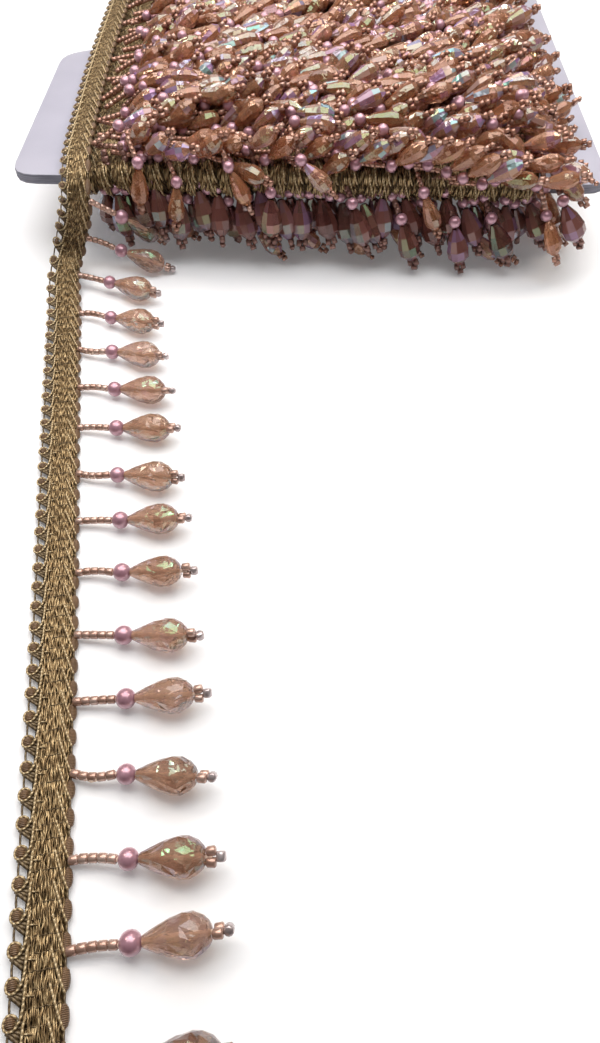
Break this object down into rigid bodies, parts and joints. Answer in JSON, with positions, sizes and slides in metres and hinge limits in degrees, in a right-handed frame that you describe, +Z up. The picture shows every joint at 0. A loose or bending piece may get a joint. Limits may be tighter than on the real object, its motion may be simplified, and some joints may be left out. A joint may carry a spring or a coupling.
{
  "type": "card-wound roll of beaded fringe trim",
  "caption": "Gold gimp braid with strung bead drops along one edge, wound round a flat white card, its loose end laid out on the table in front.",
  "frame": {"origin": "on the table under the middle of the roll, in the flat spot of the wound form's underside", "axes": "+Z up, +X along the card's front edge towards the side that the drops point to, +Y from the loose end towards the back of the roll"},
  "size_m": [0.1777, 0.4466, 0.0438],
  "materials": {
    "card": "smooth white board, matt",
    "bead_trim": "piled champagne-pink glass drops on gold braid",
    "gold_braid": "metallic gold thread, plaited",
    "seed_bead": "rose-gold lined seed beads",
    "pearl": "pink-lilac pearl lustre",
    "crystal": "faceted champagne-pink glass with a rainbow coating"
  },
  "bodies": {
    "root": {"card": "card", "wound_trim": "bead_trim", "front_fringe": "bead_trim", "back_fringe": "bead_trim", "loose_braid": "gold_braid", "stem_01": "seed_bead", "stem_02": "seed_bead", "stem_03": "seed_bead", "stem_04": "seed_bead", "stem_05": "seed_bead", "stem_06": "seed_bead", "stem_07": "seed_bead", "stem_08": "seed_bead", "stem_09": "seed_bead", "stem_10": "seed_bead", "stem_11": "seed_bead", "stem_12": "seed_bead", "stem_13": "seed_bead", "stem_14": "seed_bead", "stem_15": "seed_bead", "stem_16": "seed_bead", "pearl_01": "pearl", "pearl_02": "pearl", "pearl_03": "pearl", "pearl_04": "pearl", "pearl_05": "pearl", "pearl_06": "pearl", "pearl_07": "pearl", "pearl_08": "pearl", "pearl_09": "pearl", "pearl_10": "pearl", "pearl_11": "pearl", "pearl_12": "pearl", "pearl_13": "pearl", "pearl_14": "pearl", "pearl_15": "pearl", "pearl_16": "pearl", "crystal_01": "crystal", "crystal_02": "crystal", "crystal_03": "crystal", "crystal_04": "crystal", "crystal_05": "crystal", "crystal_06": "crystal", "crystal_07": "crystal", "crystal_08": "crystal", "crystal_09": "crystal", "crystal_10": "crystal", "crystal_11": "crystal", "crystal_12": "crystal", "crystal_13": "crystal", "crystal_14": "crystal", "crystal_15": "crystal", "crystal_16": "crystal"}
  },
  "joints": []
}
